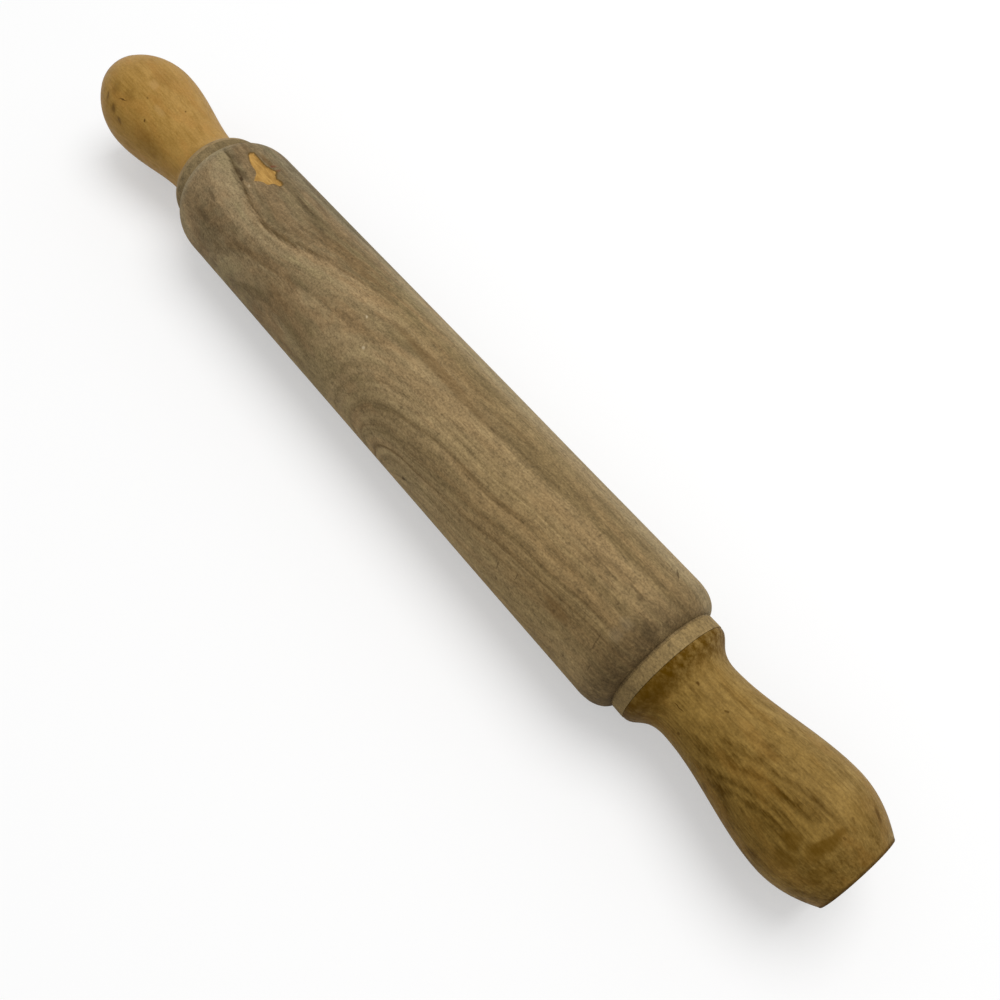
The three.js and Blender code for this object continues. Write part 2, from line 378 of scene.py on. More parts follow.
barrel = {
    "radius": 28.0,
    "shoulderLength": 10.5,
    "grooveRadius": 22.0,
    "grooveWidth": 0.8,
    "collarRadius": 22.4,
    "collarLength": 5.2,
    "collarRound": 0.4,  # on the groove's side
    "collarEdge": 0.12,  # on the handle's side
    "flangeSeatRadius": 12.55,
    "flangeSeatDepth": 2.6,
    "sleeveSeatRadius": 8.15,
    "sleeveSeatDepth": 24.1,
    "axleBore": 6.0,
    "chippedPart": (-127.0, -98.0),  # closer rows along the chip
    "closeStep": 0.45,
    "wideStep": 1.35,
    "seenSide": (40.0, 190.0),  # closer columns where wear is modelled
    "seenColumns": 231,
    "otherColumns": 82,
    "wornWithin": 0.5,  # relief only this close to the full radius
    "waves": 0.05,
    "dentDepth": 0.25,
    "dentLeast": 0.45,  # half of a dent's least width
    "chipDepth": 0.75,
    "chipEdge": (-0.1, 0.9),
    "tornDepth": 0.3,
    "tornEdge": (1.15, 0.55),
    "tornPlace": (-118.5, 69),  # x and degrees round
    "tornSize": (6.5, 2.2),  # half of its length and width
    # growth lines: number, then (x, degrees round from +y towards the top)
    "growthLines": [
        (1, [(-131, 95), (-116, 102), (-102, 109), (-87, 112), (-73, 109), (-63, 102), (-45, 91),
             (-30, 83), (-15, 75), (5, 73), (45, 67), (70, 64), (100, 66), (125, 65)]),
        (2, [(-105, 190), (-99, 168), (-94, 156), (-90, 147), (-81, 139), (-66, 133), (-45, 125),
             (-38, 120), (-28, 114), (-17, 110), (3, 103), (21, 99), (50, 93), (90, 87), (125, 83)]),
        (2.5, [(-91, 189), (-88, 180), (-81, 174), (-70, 171), (-61, 167), (-50, 166), (-40, 167),
               (-33, 172), (-28, 180), (-26, 189)]),
        (3, [(-13, 189), (-13, 168), (-11, 153), (-6, 139), (1, 129), (13, 122), (30, 118),
             (60, 114), (78, 109), (100, 106), (130, 101)]),
        (4, [(-1, 192), (-3, 165), (0, 154), (5, 144), (15, 136), (41, 127), (60, 126), (80, 120),
             (105, 116), (114, 114)]),
        (5, [(6, 192), (6, 170), (11, 161), (18, 153), (29, 151), (48, 144), (67, 140), (80, 135),
             (100, 132), (125, 126)]),
        (6, [(10, 192), (12, 179), (16, 167), (25, 160), (46, 154), (60, 152), (75, 146), (89, 142),
             (103, 138), (124, 134)]),
        (7, [(20, 189), (30, 174), (50, 166), (63, 164), (88, 152), (127, 143)]),
        # the far side, which continues the same rings
        (-1.5, [(-121, 23), (-40, 13), (40, 8), (120, 8)]),
        (2.3, [(-57, 190), (-61, 218)]),
        (9, [(40, 228), (120, 203)]),
        (11, [(60, 263), (120, 248)]),
        (5, [(-61, 273), (-121, 265)]),
        (3, [(-121, 225)]),
        (4.5, [(20, 323), (120, 321), (-81, 325)]),
    ],
    # darkness of the wood at each ring number
    "ringShades": [(-3, 0.2), (-1.6, 0.45), (-1.5, 0.2), (0.3, 0.26), (0.84, 0.42), (0.96, 0.95),
                   (1.0, 0.0), (1.3, 0.05), (1.6, 0.3), (1.94, 0.6), (2.04, 0.1), (2.3, 0.2), (2.42, 0.38),
                   (2.52, 0.38), (2.62, 0.25), (2.94, 0.28), (3.1, 0.14), (3.6, 0.18), (3.88, 0.7),
                   (4, 0.7), (4.1, 0.2), (4.6, 0.35), (4.88, 0.7), (5, 0.7), (5.1, 0.2),
                   (5.75, 0.4), (5.93, 0.92), (6.01, 0.92), (6.09, 0.28), (6.9, 0.45), (7.1, 0.3), (12, 0.4)],
    # chip with fresh wood, an arrowhead: (x, degrees round)
    "chip": [(-126, 77), (-125.5, 73.5), (-121, 73.5), (-116, 74), (-111, 69.5), (-108.5, 73), (-106.5, 75),
             (-104, 73.5), (-102, 75), (-101.5, 78.5), (-104, 81.5), (-104.5, 86.5), (-107.5, 88.5),
             (-109.5, 93), (-111, 90.5), (-112.5, 87.5), (-115, 85.5), (-119, 84.5), (-122.5, 82),
             (-125, 79.5)],
    # spots: (x, degrees round, length, width, slant, strength)
    "darkSpots": [
        (-114, 50, 8, 6, 0, 0.4), (-124.5, 91.5, 12, 3.4, 0, 0.5), (-116.5, 97, 13, 3.8, 0, 0.6),
        (-78.5, 77, 40, 4.5, 8, 0.3), (10, 52.5, 12, 1.6, 0, 0.4), (-83, 60, 18, 3, 8, 0.35),
        (104, 100, 30, 1.2, 0, 0.4), (122, 95, 9, 1.2, 0, 0.4), (124.5, 96.5, 4.5, 3, 0, 0.5),
        (121, 110, 2, 0.8, 90, 0.6), (99.5, 86.5, 2.4, 0.8, 90, 0.5), (-115, 95, 4, 2, 30, 0.5)],
    # dents are dark spots that are pressed in as well
    "dents": [
        (-114, 100.5, 3.2, 2.2, 0, 1.0), (-118, 128, 7, 2.6, 10, 0.5), (-116, 146, 14, 3.2, 0, 0.35),
        (-113, 162.5, 8.5, 0.8, 90, 0.6), (29.5, 175.5, 3.8, 1.8, -35, 0.9), (124.5, 58, 8, 0.9, 52, 0.7),
        (81.5, 157.5, 4.5, 0.8, 74, 0.6), (89.5, 152, 3, 0.8, 90, 0.6), (118.5, 169, 2.4, 0.8, 90, 0.6),
        (128.5, 157, 4, 0.8, 90, 0.6), (125, 139.5, 9, 0.9, 82, 0.55)],
    "dots": [(-33, 67), (-51.5, 76), (14.5, 129.5), (115, 115), (107.5, 146.5), (101.5, 149), (89, 165.5),
             (83, 168.5)],
    "redSpots": [(-115, 68, 5, 2.6, 80, 0.7), (-111.5, 67.5, 4, 2, 60, 0.5)],
    "brownSpots": [(108, 145, 16, 7, 0, 0.45), (-50, 147, 56, 16, 8, 0.22), (12, 89.5, 80, 6, 1, 0.35),
                   (-119, 68.5, 14, 4, 0, 0.5)],
    "paleSpots": [(-108.5, 99.5, 2.4, 1.5, 30, 0.5), (-23.5, 102, 2, 1.6, 0, 0.8),
                  (-14.5, 120.5, 1.8, 1.4, 0, 0.8), (128, 115, 7, 6, 0, 0.1), (128, 125, 7, 7, 0, 0.1)],
    "streakShare": 1.65,
    "mottleShare": 1.05,
    "speckShare": 1.35,
    "bumpDepth": 0.16,
    "roughness": 0.7,
    "gloss": 0.05,
    # tints: name, (ramp along x, least share), (ramp across y, least share), full share
    "tintZones": [
        ("greyTint", ((10, -125), 0), None, 1.0),
        ("warmTint", ((-10, 110), 0), ((12, -18), 0.25), 1.0),
        # partly the wood's own tone, partly painted shade: darker zones near each end
        ("shadeTint", ((80, 122), 0), ((2, -12), 0), 1.0),
        ("shadeTint", ((-10, -95), 0), ((-10, 1), 0), 0.9),
        # partly the wood's own tone, partly painted shade: darker bands along the barrel, one towards the
        # lamp and one on the side away from it
        ("bandTint", ((-95, -45), 0.4), ((-2, 6, 19, 13), 0), 1.0),
        ("bandTint", None, ((-18, -22, -26.8, -25), 0), 0.45),
        # painted light: lighter and bluer on the side away from the lamp, towards the near end
        ("lowGrey", ((0, 40), 0), ((-20, -26), 0), 1.0),
        # painted sheen: paler and bluer on the side towards the lamp
        ("edgeTint", None, ((8, 18), 0), 1.0),
        # painted light: the whole side away from the lamp lighter
        ("lowTint", None, ((-22, -27), 0), 1.0),
    ],
    "pale": paint(157, 135, 98),
    "deep": paint(86, 68, 40),
    "pinkTint": (1.05, 0.985, 0.95, 1.0),
    "oliveTint": (0.93, 0.96, 0.93, 1.0),
    "greyTint": (0.98, 1.02, 1.10, 1.0),
    "warmTint": (1.02, 0.97, 0.86, 1.0),
    # shade and band tints: partly the wood's own tone, partly painted shade
    "shadeTint": (0.83, 0.83, 0.83, 1.0),
    "bandTint": (0.76, 0.74, 0.69, 1.0),
    # painted sheen along the barrel's edge towards the lamp
    "edgeTint": (1.03, 1.10, 1.22, 1.0),
    # painted light on the side away from the lamp, in the two tints below
    "lowTint": (1.10, 1.10, 1.10, 1.0),
    "lowGrey": (1.07, 1.10, 1.14, 1.0),
    "spotColour": paint(62, 46, 28),
    "redColour": paint(112, 62, 40),
    "brownColour": paint(106, 78, 42),
    "speckColour": paint(190, 172, 140),
    "dirtColour": paint(76, 61, 39),
    "nearCollar": paint(144, 121, 80),
    "farCollar": paint(124, 106, 73),
    "crestColour": paint(160, 146, 116),
    "chipPale": paint(192, 151, 84),
    "chipDeep": paint(160, 122, 64),
    # painted shadow along the chip's upper wall, with some dark torn fibre
    "chipRimShadow": paint(98, 74, 34),
}


def barrelOutline(b):
    # half of the outline, from the straight part's end to the bore; the other half is its mirror image
    edge = barrelEnd - b["collarLength"]
    foot = edge - b["grooveWidth"]
    shoulder = foot - b["shoulderLength"]
    lip, rim = b["collarRound"], b["collarEdge"]
    top = b["collarRadius"] - lip
    shoulderRadii = (b["shoulderLength"], b["radius"] - b["grooveRadius"])
    half = joined(
        arc((shoulder, b["grooveRadius"]), shoulderRadii, 90, 0, 18),
        straight((foot, b["grooveRadius"]), (edge, b["grooveRadius"]), 0.4),
        arc((edge + lip, top), (lip, lip), 180, 90, 5),
        arc((barrelEnd - rim, b["collarRadius"] - rim), (rim, rim), 90, 0, 4),
        straight((barrelEnd, top), (barrelEnd, b["flangeSeatRadius"]), 4.0),
        (barrelEnd - b["flangeSeatDepth"], b["flangeSeatRadius"]),
        (barrelEnd - b["flangeSeatDepth"], b["sleeveSeatRadius"]),
        straight((barrelEnd - b["sleeveSeatDepth"], b["sleeveSeatRadius"]),
                 (barrelEnd - b["sleeveSeatDepth"], b["axleBore"]), 4.0))
    mirrored = half[::-1] * np.array([-1, 1])
    first, last = b["chippedPart"]
    r = b["radius"]
    rolling = joined(straight((-shoulder, r), (first, r), b["wideStep"]),
                     straight((first, r), (last, r), b["closeStep"]),
                     straight((last, r), (shoulder, r), b["wideStep"]))
    bore = straight(half[-1], mirrored[0], 30.0)
    return joined(mirrored, rolling, half, bore[1:-1])


def makeBarrel(b):
    outline = barrelOutline(b)
    first, last = b["seenSide"]
    seen = np.linspace(first, last, b["seenColumns"])
    around = np.concatenate([seen, np.linspace(last, first + 360, b["otherColumns"])[1:-1]])
    x, angle = np.broadcast_arrays(outline[:, :1], around[None, :])
    outside = outline[:, 1:] > b["radius"] - b["wornWithin"]
    arcLength = np.radians(angle) * b["radius"]
    # slow unevenness of a worn barrel: the mean of three sines of x and of the angle a, less 1
    a = np.radians(angle)
    waves = np.sin(x / 23 + 2 * np.cos(a)) + np.sin(x / 11 - 3 * np.sin(a)) + np.sin(4 * a + x / 37)
    relief = b["waves"] * waves / 3 - b["waves"]
    # the chip is a hollow with a steep edge, torn by two sines; above it a shallow torn strip
    chipLine = np.array([(cx, math.radians(ca) * b["radius"]) for cx, ca in b["chip"]])
    chip = insideDistance(chipLine, x, arcLength)
    tears = 0.12 * np.sin(arcLength * 4.1 + 0.6 * np.sin(x * 0.7)) + 0.08 * np.sin(x * 1.9 + arcLength)
    relief = relief - soft(chip, *b["chipEdge"]) * (b["chipDepth"] + tears)
    tornX, tornTurn = b["tornPlace"]
    tornLength, tornWidth = b["tornSize"]
    tornArc = arcLength - math.radians(tornTurn) * b["radius"]
    torn = np.hypot((x - tornX) / tornLength, tornArc / tornWidth)
    relief = relief - soft(torn, *b["tornEdge"]) * (b["tornDepth"] + tears)
    # dents: each one's depth falls off as exp(-2 d^2), where d is 1 at its rim
    for sx, sa, length, width, slant, strength in b["dents"]:
        along, over = x - sx, arcLength - math.radians(sa) * b["radius"]
        turn = math.radians(slant)
        u = (along * math.cos(turn) + over * math.sin(turn)) / (length / 2)
        v = (over * math.cos(turn) - along * math.sin(turn)) / max(width / 2, b["dentLeast"])
        relief = relief - b["dentDepth"] * strength * np.exp(-2 * (u * u + v * v))
    points = turned(outline, around, np.where(outside, relief, 0.0))
    rings = ringField(b["growthLines"], points, lambda at: np.full(np.shape(at), b["radius"]))
    return points, {"rings": rings, "chip": chip}


def ramp(value, stops):
    # an ease over two stops, or up over the first two and down over the last two
    risen = ease(value, *stops[:2])
    return risen * ease(value, *stops[2:]) if len(stops) > 2 else risen


def zoneShare(x, y, along, across, full):
    # the full share times least + (1 - least) ramp, for each ramp that the zone has
    share = full
    for value, zone in ((x, along), (y, across)):
        if zone:
            stops, least = zone
            share = share * (least + ramp(value, stops) * (1 - least))
    return share


def bareWood(b):
    material, point = newFinish("bareWood")
    x, y = split(point)[:2]
    rings = field(point, "rings")
    chip = field(point, "chip")

    # growth rings: the traced number, shaken a little, read off a ramp of shades, and streaks along them
    drift = clouds(point, (34, 8, 8), 2.0)
    fibre = clouds(point, (9, 1.0, 1.0), 3.0, 0.6)
    figure = ringShade(rings + (drift - 0.5) * 0.4 + (fibre - 0.5) * 0.22, b["ringShades"])
    calm = ease(x, -45, -5) * ease(y, 5, 9) * 0.9  # the rings fade on the upper side
    figure = figure * (0.62 + ease(x, -30, -70) * 0.38) * (1.0 - calm)
    ringPlace = point.node("ShaderNodeCombineXYZ", {}, {"X": rings * 4.0, "Y": x / 50, "Z": drift * 2.0})
    streaks = clouds(ringPlace, (1, 1, 1), 5.0, 0.72)
    colour = blend(b["pale"], b["deep"], figure + (streaks - 0.5) * b["streakShare"] + 0.06)

    # hue: pink and olive along the rings, less of them to the right, then tints by zones of the barrel, which
    # across it are painted light, sheen and shade as well as the wood's own tone
    hue = clouds(ringPlace, (2.6, 0.9, 1.2), 3.0, 0.6)
    hueShare = 1.0 - ease(x, -40, 30) * 0.6
    colour = blend(colour, b["pinkTint"], ease(hue, 0.48, 0.6) * hueShare, "MULTIPLY")
    colour = blend(colour, b["oliveTint"], ease(hue, 0.5, 0.38) * hueShare, "MULTIPLY")
    for tint, *zone in b["tintZones"]:
        colour = blend(colour, b[tint], zoneShare(x, y, *zone), "MULTIPLY")

    # collars, the dirt beside the near one and the pale crest beside the far one, and painted shade on the
    # near collar
    collarAt = barrelEnd - b["collarLength"]
    smudge = clouds(wobbled(point, 8, 5), (9, 5, 5), 3.0, 0.6)
    strokes = clouds(point, (12, 0.9, 0.9), 3.0, 0.6)
    dirtPlace = ramp(x, (122, 136, collarAt + 0.3, collarAt - 0.7)) * ease(y, 36, -14)
    dirt = ease(smudge, 0.3, 0.7) * 0.4 + (strokes - 0.4) * 0.8 + 0.36
    colour = blend(colour, b["dirtColour"], dirtPlace * dirt)
    nearCollar = ease(x, collarAt - 0.6, collarAt + 0.4)
    colour = blend(colour, b["nearCollar"], nearCollar * 0.8)
    # painted shade on the near collar, towards the side away from the lamp
    colour = blend(colour, b["shadeTint"], nearCollar * ease(y, 0, -20), "MULTIPLY")
    colour = blend(colour, b["farCollar"], ease(x, 1.1 - collarAt, 0.1 - collarAt) * 0.8)
    crest = ramp(x, (-130.0, -136.5, -collarAt - 0.3, 0.7 - collarAt)) * ease(y, 14, -8)
    colour = blend(colour, b["crestColour"], crest * 0.6)

    # the sandy surface of bare wood
    mottle = clouds(point, (4.8, 2.4, 2.4), 4.0, 0.7)
    speck = clouds(point, (0.9, 0.75, 0.75), 2.0, 0.7)
    pores = clouds(point, (3.4, 0.5, 0.5), 1.0)
    collars = ease(point.maths("ABSOLUTE", x), collarAt - 0.7, collarAt + 0.3)
    sandy = (mottle - 0.5) * (b["mottleShare"] + collars * 0.35)
    colour = shade(colour, 1.0 + sandy + (speck - 0.5) * b["speckShare"] + (fibre - 0.5) * 0.35)
    poreShare = ease(pores, 0.6, 0.74) * 0.2
    colour = shade(colour, 1.0 - poreShare)

    # wear: spots with ragged edges
    ragged = wobbled(point, 2.2, 2.0)

    def radiusAt(at):
        return b["radius"]

    dots = [(*place, 2.0, 1.5, 0, 0.5) for place in b["dots"]]  # small round spots of one size
    colour = blend(colour, b["brownColour"], marks(ragged, b["brownSpots"], radiusAt))
    colour = blend(colour, b["redColour"], marks(ragged, b["redSpots"], radiusAt))
    darkShare = marks(ragged, b["darkSpots"] + b["dents"] + dots, radiusAt) * (0.55 + mottle * 0.7)
    colour = blend(colour, b["spotColour"], darkShare)
    colour = blend(colour, b["speckColour"], marks(ragged, b["paleSpots"], radiusAt))

    # fresh wood in the chip, with a dark rim along its upper edge: painted shadow of the chip's upper wall,
    # with some dark torn fibre
    chipStreaks = clouds(point, (7, 1.6, 1.6), 4.0, 0.65)
    fresh = blend(b["chipDeep"], b["chipPale"], ease(chipStreaks, 0.34, 0.66))
    chipRagged = chip + (mottle - 0.5) * 1.2 + (speck - 0.5) * 0.6
    rim = ease(chipRagged, -0.8, -0.1) * ease(chipRagged, 0.5, 0.1) * ease(y, 0.0, 7.0)
    colour = blend(colour, fresh, ease(chipRagged, -0.1, 0.35))
    colour = blend(colour, b["chipRimShadow"], rim * 0.8)

    height = fibre * 0.4 + mottle * 0.3 + speck * 0.3 - poreShare * 1.5
    rough = b["roughness"] + (mottle - 0.5) * 0.3
    surface(point, colour, rough, height, b["bumpDepth"], {"Specular IOR Level": b["gloss"]})
    return material


barrelPoints, barrelFields = makeBarrel(barrel)
makePiece("barrel_wood", barrelPoints, bareWood(barrel), "barrel", True, barrelFields)
print("barrel: {} points".format(barrelPoints.shape[0] * barrelPoints.shape[1]))


# handles

handle = {
    "gap": 0.06,  # between the barrel's end face and the handle's foot
    "footRound": 0.12,
    "recess": (11.3, 1.9),  # radius and depth of the thrust washer's seat, from the barrel's end face
    "shankBore": 4.1,
    "pocket": (9.4, 58.9),  # radius, and its floor from the barrel's end face
    "footRadius": 22.2,
    "neck": (13.5, 16.2),  # distance from the barrel's end face, radius
    "bulb": (61.5, 22.5),
    "end": (81.8, 15.8),
    "endEase": 0.5,
    "crownShare": 0.35,
    "hollowShare": 0.32,
    "columns": 168,
    "waves": 0.06,
    # growth lines of the right handle: number, then (x, degrees round)
    "growthLines": [
        (1, [(157, 80), (173, 80), (182, 76), (189, 72), (196, 68), (204, 65), (212, 63)]),
        (2, [(177, 103), (182, 100), (187, 97)]),
        (3, [(174, 122), (179, 118), (184, 113), (189, 109), (196, 104), (202, 101), (210, 98), (216, 95)]),
        (4, [(171, 147), (177, 140), (182, 132), (187, 124), (192, 120), (198, 117), (204, 111)]),
        (5, [(173, 178), (174, 167), (177, 158), (182, 147), (187, 138), (192, 133), (200, 128),
             (206, 129)]),
        (6, [(179, 180), (180, 167), (188, 147), (193, 142), (199, 135)]),
        (0, [(160, 23), (210, 13)]),
        (8, [(190, 203), (212, 188)]),
        (4.5, [(170, 303), (210, 303)]),
    ],
    "ringShades": [(-2, 0.05), (0.5, 0.12), (0.9, 0.55), (1.05, 0.15), (1.6, 0.2), (1.85, 0.5), (2, 0.5),
                   (2.15, 0.25), (2.5, 0.3), (2.8, 0.8), (3, 0.85), (3.2, 0.35), (3.5, 0.35), (3.8, 0.85),
                   (4, 0.85), (4.2, 0.35), (4.5, 0.35), (4.75, 0.85), (5, 0.85), (5.2, 0.35), (5.5, 0.4),
                   (5.75, 0.8), (6, 0.8), (6.3, 0.45), (9, 0.5)],
    "bumpDepth": 0.06,
    "endPith": (31.0, -12.0),  # where the flat end's growth rings start, across and up
    "lowTint": (1.0, 0.98, 0.80, 1.0),
    # painted sheen on the near handle's side towards the lamp
    "paintedTopSheen": (1.05, 1.10, 1.30, 1.0),
    "paleColour": paint(190, 154, 98),
    "footGrey": paint(142, 123, 90),
    "endGrain": paint(70, 48, 20),
    # each handle's own colours, shares, and spots: (x, degrees round, length, width, slant, strength)
    "near": {
        "pale": paint(152, 122, 66),
        "deep": paint(78, 54, 8),
        "warm": paint(136, 99, 44),
        "stain": paint(92, 63, 3),
        "spot": paint(74, 48, 6),
        "figure": 0.6, "mottle": 1.0, "blotch": 0.85, "low": 0.16, "tip": 0.36,
        "speck": 0.8, "grimeAndHollowShade": 1.0, "stainCore": 0.45, "gloss": 0.03,
        "stains": [
            (214, 117, 6.5, 21, 2, 0.75), (213.5, 127, 6, 13, 0, 0.5), (210, 150, 9, 10, 0, 0.5),
            (207, 134, 8, 7, 0, 0.6), (148, 143, 9, 30, 0, 0.5), (218.5, 140, 5, 12, 0, 0.4),
            (214, 68, 17, 22, 0, 0.22)],
        "spots": [
            (218, 59.5, 7.5, 3.2, 10, 0.7), (156, 136, 6, 0.7, 0, 0.9), (155, 101.5, 1.8, 1.5, 0, 0.8),
            (167, 100.5, 1.6, 1.3, 0, 0.7), (161.5, 160, 1.8, 1.3, 0, 0.7), (220.5, 79, 1.8, 1.2, 0, 0.5),
            (214, 87, 2.2, 1.4, 30, 0.5), (216, 103, 1.6, 1.2, 0, 0.5), (166, 80.5, 28, 1.6, 0, 0.3),
            (157, 111, 22, 1.2, 0, 0.25)],
    },
    "far": {
        "pale": paint(174, 137, 75),
        "deep": paint(126, 93, 32),
        "warm": paint(172, 124, 62),
        "stain": paint(112, 80, 24),
        "spot": paint(84, 56, 16),
        "figure": 0.12, "mottle": 0.6, "blotch": 0.9, "low": 0.22, "tip": 0.05,
        "speck": 0.55, "grimeAndHollowShade": 0.2, "stainCore": 0.0, "gloss": 0.06,
        "stains": [
            (-207, 131, 10, 7, 20, 0.6), (-203.5, 151, 9, 7, 0, 0.6), (-198, 157.5, 9, 6, 0, 0.55),
            (-195.5, 80, 20, 17, 0, 0.3), (-179.5, 155, 34, 18, 0, 0.4), (-209.5, 146, 9, 5, 60, 0.6),
            (-197.5, 126, 10, 8, 0, 0.45)],
        "spots": [
            (-199.5, 134, 6, 0.9, -15, 0.9), (-184, 134, 2.2, 1.4, 40, 0.9), (-209.5, 144, 5, 1, 70, 0.7),
            (-175, 82, 1.6, 1.3, 0, 0.8), (-190, 111, 1.8, 1.2, 0, 0.5), (-203, 150, 5, 2.8, 50, 0.5),
            (-197.5, 157.5, 5, 3, 40, 0.5)],
        "pales": [(-194, 95, 9, 5, 20, 0.35), (-181.5, 111, 10, 4, 0, 0.3)],
    },
}


def handleOutline(h):
    # foot, ogee to the neck, swell to the bulb, dome to the flat end, then the pocket and the bore
    foot, rim = h["gap"], h["footRadius"]
    neckAt, neck = h["neck"]
    bulbAt, bulb = h["bulb"]
    endAt, end = h["end"]
    tip = endAt + h["endEase"]
    recess, washerSeat = h["recess"]
    pocket, floor = h["pocket"]
    lip = h["footRound"]
    hollow, swell = neckAt - foot, (bulbAt - neckAt) / 3
    outline = joined(
        straight((foot, recess), (foot, rim - lip), 3.0),
        arc((foot + lip, rim - lip), (lip, lip), 180, 110, 3),
        bezier([(foot + lip, rim), (foot + h["crownShare"] * hollow, rim),
                (foot + h["hollowShare"] * hollow, neck), (neckAt, neck)], 26),
        bezier([(neckAt, neck), (neckAt + swell, neck), (bulbAt - swell, bulb), (bulbAt, bulb)], 44),
        bezier([(bulbAt, bulb), ((bulbAt + endAt) / 2, bulb), (endAt, end)], 26),
        bezier([(endAt, end), (tip, end - 0.1), (tip, end - h["endEase"])], 3),
        straight((tip, end - h["endEase"]), (tip, pocket), 2.0),
        straight((floor, pocket), (floor, h["shankBore"]), 3.0),
        straight((washerSeat, h["shankBore"]), (washerSeat, recess), 4.0))
    return outline + np.array([barrelEnd, 0])


def makeHandle(h):
    outline = handleOutline(h)
    around = fullTurn(h["columns"])
    x, a = np.broadcast_arrays(outline[:, :1], np.radians(around)[None, :])
    outside = (outline[:, 1:] > h["neck"][1] - 1.0) & (outline[:, :1] > barrelEnd + 2)
    # waves: the mean of two sines of x and of the angle a, less 1
    waves = np.sin(x / 9 + 2 * np.cos(a)) + np.sin(3 * a - x / 14)
    points = turned(outline, around, np.where(outside, h["waves"] * (waves / 2 - 1), 0.0))
    rings = ringField(h["growthLines"], points, handleRadius)
    return points, {"rings": rings}


handleEdge = handleOutline(handle)
handleEdge = handleEdge[: int(np.argmax(handleEdge[:, 0])) + 1]  # foot to flat end, for radii


def handleRadius(x):
    return np.interp(np.abs(x), handleEdge[:, 0], handleEdge[:, 1])


def polishedWood(h, side):
    # side is "near", the right handle, or "far", the left one
    w, near = h[side], side == "near"
    material, point = newFinish(side + "PolishedWood")
    x, y, z = split(point)
    out = x if near else x * -1.0  # distance towards the handle's tip
    rings = field(point, "rings")
    drift = clouds(point, (20, 6, 6), 2.0)
    fibre = clouds(point, (14, 0.8, 0.8), 3.0, 0.6)
    mottle = clouds(point, (4.2, 2.6, 2.6), 5.0, 0.7)
    speck = clouds(point, (0.9, 0.8, 0.8), 2.0, 0.7)
    blotch = clouds(wobbled(point, 9, 7), (13, 8, 8), 3.0)

    # growth rings, fainter at the neck and gone at the tip, and the wood's own unevenness
    figure = ringShade(rings + (drift - 0.5) * 0.5 + (fibre - 0.5) * 0.35, h["ringShades"])
    fromNeck = 0.35 + ease(out, barrelEnd + 18, barrelEnd + 42) * 0.65
    figure = figure * fromNeck * ease(out, handleTip - 8, handleTip - 24)
    low = ease(y, 4, -20)  # darker and yellower on the side away from the lamp
    tipShare = ease(out, handleTip - 18, handleTip - 3) * w["tip"]
    uneven = (mottle - 0.5) * w["mottle"] + (blotch - 0.5) * w["blotch"] + (fibre - 0.5) * 1.1
    deepShare = figure * w["figure"] + uneven + low * w["low"] + tipShare + 0.14
    colour = blend(w["pale"], w["deep"], deepShare)
    colour = blend(colour, w["warm"], ease(drift, 0.46, 0.66) * 0.3)
    colour = blend(colour, h["lowTint"], low, "MULTIPLY")
    # painted sheen: the near handle paler and bluer towards the lamp
    if near:
        colour = blend(colour, h["paintedTopSheen"], ease(y, 3, 10), "MULTIPLY")
    colour = shade(colour, 1.0 + (speck - 0.5) * w["speck"])

    # handling: darker in the hollow behind the foot, grime with painted shade, then stains and spots
    ragged = wobbled(point, 3.0, 2.2)
    smeared = wobbled(point, 6.0, 6.0)
    grimeAndHollowShade = ease(out, barrelEnd + 12, barrelEnd + 2) * (0.2 + ease(mottle, 0.3, 0.7))
    colour = blend(colour, w["stain"], grimeAndHollowShade * w["grimeAndHollowShade"])
    # painted shade, deeper still in the hollow by the near foot and on the side away from the lamp
    if near:
        colour = shade(colour, 1.0 - ease(out, barrelEnd + 9, barrelEnd + 3) * (0.06 + low * 0.12))
    stains = marks(smeared, w["stains"], handleRadius, w["stainCore"]) * (0.5 + mottle * 0.9)
    colour = blend(colour, w["stain"], stains)
    colour = blend(colour, w["spot"], marks(ragged, w["spots"], handleRadius))
    if not near:
        colour = blend(colour, h["paleColour"], marks(ragged, w["pales"], handleRadius))
        greyShare = ease(out, barrelEnd + 4.2, barrelEnd + 2.4) * 0.85
        grey = shade(h["footGrey"], 1.0 + (mottle - 0.5) * 1.4 + (speck - 0.5))
        colour = blend(colour, grey, greyShare)

    # end grain on the flat end: rings about the pith, its dark colour partly end-grain dirt and partly
    # painted shade
    tipRim = ease(out, handleTip - 1.3, handleTip - 0.4)
    across, up = h["endPith"]
    pith = point.node("ShaderNodeCombineXYZ", {}, {"X": 0.0, "Y": y - across, "Z": z - up})
    growth = point.maths("SINE", lengthOf(pith) * 2.4 + drift * 6.0)
    endColour = shade(blend(colour, h["endGrain"], 0.7), 1.0 + growth * 0.12 + (mottle - 0.5) * 0.5)
    colour = blend(colour, endColour, tipRim)

    height = fibre * 0.5 + mottle * 0.4 + speck * 0.2
    rough = 0.5 + (mottle - 0.5) * 0.35 + tipRim * 0.2
    surface(point, colour, rough, height, h["bumpDepth"], {"Specular IOR Level": w["gloss"]})
    return material


handlePoints, handleFields = makeHandle(handle)
nearWood = polishedWood(handle, "near")
makePiece("right_handle_wood", handlePoints, nearWood, "right_handle", True, handleFields)
farWood = polishedWood(handle, "far")
makePiece("left_handle_wood", turnedAbout(handlePoints), farWood, "left_handle", True, handleFields)
print("handles: {} points each".format(handlePoints.shape[0] * handlePoints.shape[1]))


# end plugs

plug = {
    "ease": 0.3,
    "columns": 64,
    "pale": paint(150, 114, 62),
    "deep": paint(104, 74, 34),
    "pith": (5.0, -9.0),  # where the plug's growth rings start, across and up from the axle
    "ringGap": 1.6,
    "bumpDepth": 0.08,
    "gloss": 0.06,
}


